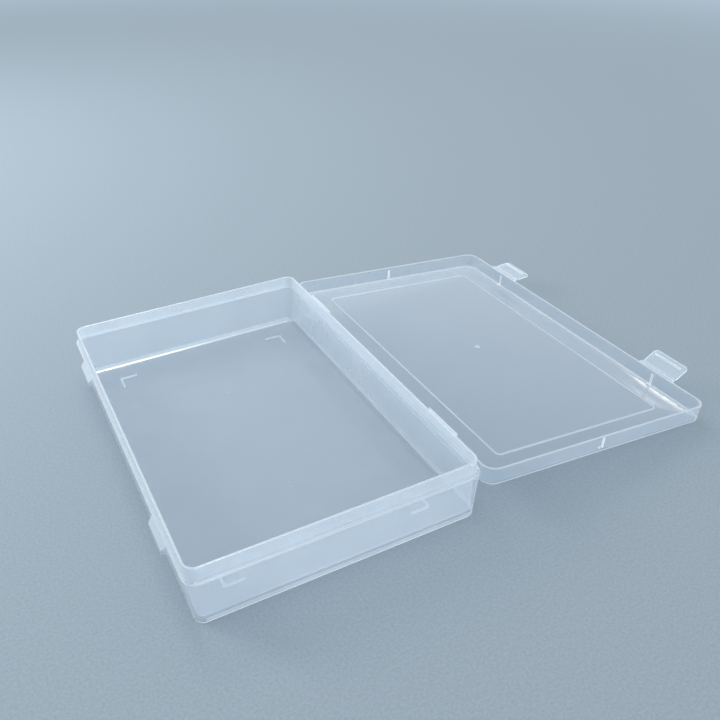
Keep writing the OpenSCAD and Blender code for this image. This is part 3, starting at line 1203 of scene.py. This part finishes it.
@dataclass
class Latch:
    """Latch flap with a hook bar, folded on its film to the angle it was left at."""

    case: Case
    lid: Lid
    side: Side
    film_reach: float = 0.67 * MM
    root: float = 0.42 * MM
    reach: float = 11.2 * MM
    thickness: float = 1.0 * MM
    free_corner: float = 2.6 * MM
    hook_start: float = 6.9 * MM
    hook_width: float = 1.4 * MM
    hook_rise: float = 1.6 * MM
    hook_half: float = 10 * MM
    hook_slope: float = 0.6 * MM
    hook_edge: float = 0.15 * MM
    edge: float = 0.2 * MM
    # Shares of painted light on the flap's flat sides, rim and hook bar, and its share of milk.
    plate_light: float = 0.15
    rim_light: float = 0.9
    hook_light: float = 0.7
    frost_and_painted_light: float = -0.6

    def build(self) -> Object:
        """Models the flap flat at its fold line, then folds it and lays it on the lid.

        Returns:
            The flap's mesh object.
        """
        half = self.case.latch_length / 2
        top = self.thickness / 2
        flap = add_block(f"latch_flap_{self.side.word}", (self.root, -half, -top), (self.reach, half, top))
        free_end = self.reach - TINY
        bevel_edges(flap, lambda a, b: is_upright(a, b) and a.x > free_end, self.free_corner, segments=8)
        round_all(flap, self.edge, segments=3)
        hook_end = self.hook_start + self.hook_width
        hook = add_block(
            "hook", (self.hook_start, -self.hook_half, 0), (hook_end, self.hook_half, top + self.hook_rise)
        )
        with editing(hook, "EDGE"):
            pick_edges(lambda a, b: min(a.x, b.x) > hook_end - TINY and min(a.z, b.z) > top)
            bpy.ops.mesh.bevel(offset=self.hook_slope, segments=3, affect="EDGES")
        hook_middle = top + self.hook_rise / 2
        bevel_edges(hook, lambda a, b: min(a.z, b.z) > hook_middle, self.hook_edge, segments=2)
        work_in(flap, hook, Cut.JOIN)
        finish_mesh(flap)
        mark_faces(flap, "painted_edge_light", self.painted_edge_light)
        mark_faces(flap, "wall_frost_and_painted_light", lambda centre, normal: self.frost_and_painted_light)
        turn_about_y(flap, -self.side.flap_angle, Vector((0, 0, 0)))
        fold_x = self.lid.far_x + self.lid.flange_width + self.film_reach
        shift(flap, (fold_x, self.side.value * self.case.latch_y, -self.lid.flange_thickness / 2))
        self.case.lay_on_lid(flap)
        return flap

    def painted_edge_light(self, centre: Vector, normal: Vector) -> float:
        """Says how much painted light a face of the flat flap shows.

        Args:
            centre: The face's middle.
            normal: The face's normal.

        Returns:
            A little for its two flat sides, more for its rim and its hook bar.
        """
        if abs(centre.z) > self.thickness / 2 + MARGIN:
            return self.hook_light
        return self.plate_light if abs(normal.z) > LEVEL else self.rim_light


@dataclass
class HingeStrap:
    """Thin film that arches from the tray's shoulder over to the lid's skirt edge."""

    case: Case
    side: Side
    length: float = 27 * MM
    film: float = 0.35 * MM
    leg_x: float = 0.72 * MM
    leg_top: float = 3.8 * MM
    foot_x: float = 1.35 * MM
    foot_z: float = -0.3 * MM
    bend: float = 0.3 * MM
    crown_steps: int = 7

    def build(self) -> Object:
        """Models the strap by spinning and extruding the end face of its film.

        Returns:
            The strap's mesh object.
        """
        half, thin = self.length / 2, self.film / 2
        strap = add_block(
            f"hinge_strap_film_{self.side.word}",
            (-self.foot_x, -half, self.foot_z - thin),
            (-self.leg_x - self.bend, half, self.foot_z + thin),
        )
        knee = self.foot_z + self.bend
        with editing(strap):
            pick_faces(lambda centre, normal: normal.x > FACING)
            self.spin(-90, (-self.leg_x - self.bend, 0, knee), steps=4)
            self.push((0, 0, self.leg_top - knee))
            self.spin(180, (0, 0, self.leg_top), self.crown_steps)
            self.push((0, 0, knee - self.leg_top))
            self.spin(-90, (self.leg_x + self.bend, 0, knee), steps=4)
            self.push((self.foot_x - self.leg_x - self.bend, 0, 0))
        finish_mesh(strap, angle=50)
        return strap

    def spin(self, degrees: float, centre: Sequence[float], steps: int) -> None:
        """Sweeps the selected end face round a line along Y, and keeps the new end selected."""
        bpy.ops.mesh.spin(
            steps=steps, angle=math.radians(degrees), center=centre, axis=(0, 1, 0), use_auto_merge=False
        )

    def push(self, offset: Sequence[float]) -> None:
        """Extrudes the selected end face along a straight line."""
        bpy.ops.mesh.extrude_region_move(TRANSFORM_OT_translate={"value": offset})


# The studio


@dataclass(frozen=True)
class Lamp:
    """Soft rectangular lamp. It lights what is matt, or only shows as a reflection in what is glossy."""

    name: str
    place: Sequence[float]
    aim: Sequence[float]
    size: Sequence[float]
    power: float
    colour: str
    mirrored: bool

    def hang(self) -> None:
        """Adds the lamp to the scene."""
        data = bpy.data.lights.new(self.name, "AREA")
        data.shape = "RECTANGLE"
        data.size, data.size_y = self.size
        data.energy = self.power
        data.color = linear(self.colour)[:3]
        lamp = bpy.data.objects.new(self.name, data)
        bpy.context.scene.collection.objects.link(lamp)
        lamp.location = self.place
        lamp.rotation_euler = (Vector(self.aim) - Vector(self.place)).to_track_quat("-Z", "Y").to_euler()
        lamp.visible_diffuse = not self.mirrored
        lamp.visible_transmission = not self.mirrored
        lamp.visible_glossy = self.mirrored


@dataclass
class Studio:
    """Paper floor, soft lamps and the camera at the photograph's place."""

    camera_place: Sequence[float] = (-112.80 * MM, -360.20 * MM, 285.00 * MM)
    yaw: float = 26.63
    pitch: float = 32.27
    roll: float = -1.69
    lens: float = 40.42
    sensor: float = 36.0
    clip_start: float = 0.01
    paper: BackdropPaper = BackdropPaper()
    floor_size: float = 8.0
    floor_place: Sequence[float] = (0, 1.5, 0)
    room_colour: str = "#F7FBFF"
    room_strength: float = 1.12
    lamps: Sequence[Lamp] = (
        Lamp("key_softbox", (0.06, 0.85, 1.1), (0.06, 0.0, 0), (0.3, 0.3), 4.0, "#FFFFFF", False),
        Lamp("side_softbox", (-0.75, 0.75, 0.6), (0.1, 0.3, 0), (0.4, 0.4), 11.0, "#FFFFFF", False),
        Lamp("overhead_strip", (0.1, -0.1, 1.35), (0.1, -0.1, 0), (0.3, 0.8), 24.0, "#FFF3E0", True),
        Lamp("right_strip", (1.05, 0.44, 0.17), (0.21, -0.09, 0), (0.1, 0.1), 0.3, "#FFF3E0", True),
    )

    def build(self) -> None:
        """Builds the floor, the lamps, the world and the camera."""
        self.lay_floor()
        self.hang_lamps()
        self.place_camera()

    def lay_floor(self) -> None:
        """Lays the sheet of backdrop paper."""
        bpy.ops.mesh.primitive_plane_add(size=self.floor_size, location=self.floor_place)
        floor = settle("backdrop_paper")
        give(floor, self.paper.make())

    def hang_lamps(self) -> None:
        """Hangs the two lamps that light the case and the two that it mirrors, and sets the room's light."""
        for lamp in self.lamps:
            lamp.hang()
        world = bpy.data.worlds.new("room")
        bpy.context.scene.world = world
        world.use_nodes = True
        room = world.node_tree.nodes["Background"].inputs
        room["Color"].default_value = linear(self.room_colour)
        room["Strength"].default_value = self.room_strength

    def place_camera(self) -> None:
        """Sets the camera where the photograph was taken from."""
        yaw, pitch, roll = (math.radians(v) for v in (self.yaw, self.pitch, self.roll))
        forward = Vector(
            (math.cos(pitch) * math.sin(yaw), math.cos(pitch) * math.cos(yaw), -math.sin(pitch))
        )
        level = Vector((math.cos(yaw), -math.sin(yaw), 0))
        upright = level.cross(forward)
        right = math.cos(roll) * level + math.sin(roll) * upright
        up = -math.sin(roll) * level + math.cos(roll) * upright
        data = bpy.data.cameras.new("photo_camera")
        data.lens = self.lens
        data.sensor_width = self.sensor
        data.clip_start = self.clip_start
        camera = bpy.data.objects.new("photo_camera", data)
        bpy.context.scene.collection.objects.link(camera)
        turn = Matrix((right, up, -forward)).transposed()
        camera.matrix_world = Matrix.Translation(Vector(self.camera_place)) @ turn.to_4x4()
        bpy.context.scene.camera = camera


def report(obj: Object) -> None:
    """Logs a finished piece with its number of faces."""
    LOG.info("%s: %d faces", obj.name, len(obj.data.polygons))


def main() -> None:
    """Builds the case around the frame, dresses it and sets the studio."""
    logging.basicConfig(level=logging.INFO, format="%(name)s: %(message)s")
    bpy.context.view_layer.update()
    plastic = MouldedPolypropylene().make()
    film_plastic = BentFilm().make()
    case = Case()

    tray = Tray(case).build()
    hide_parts("tray")
    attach(tray, "tray")
    give(tray, plastic)
    report(tray)

    lid_maker = Lid(case)
    lid = lid_maker.build()
    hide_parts("lid")
    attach(lid, "lid")
    give(lid, plastic)
    report(lid)

    for side in Side:
        flap = Latch(case, lid_maker, side).build()
        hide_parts(f"latch_{side.word}")
        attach(flap, f"latch_{side.word}")
        give(flap, plastic)
        report(flap)
        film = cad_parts[f"latch_film_{side.word}"]
        give(film, plastic)

    for side in Side:
        strap = HingeStrap(case, side).build()
        shift(strap, case.hinge + Vector((0, side.value * case.strap_y, 0)))
        give(strap, film_plastic)
        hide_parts(f"hinge_strap_{side.word}")
        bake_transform(strap)
        report(strap)

    Studio().build()
    bpy.context.scene.view_settings.view_transform = "Standard"


if __name__ == "__main__":
    main()
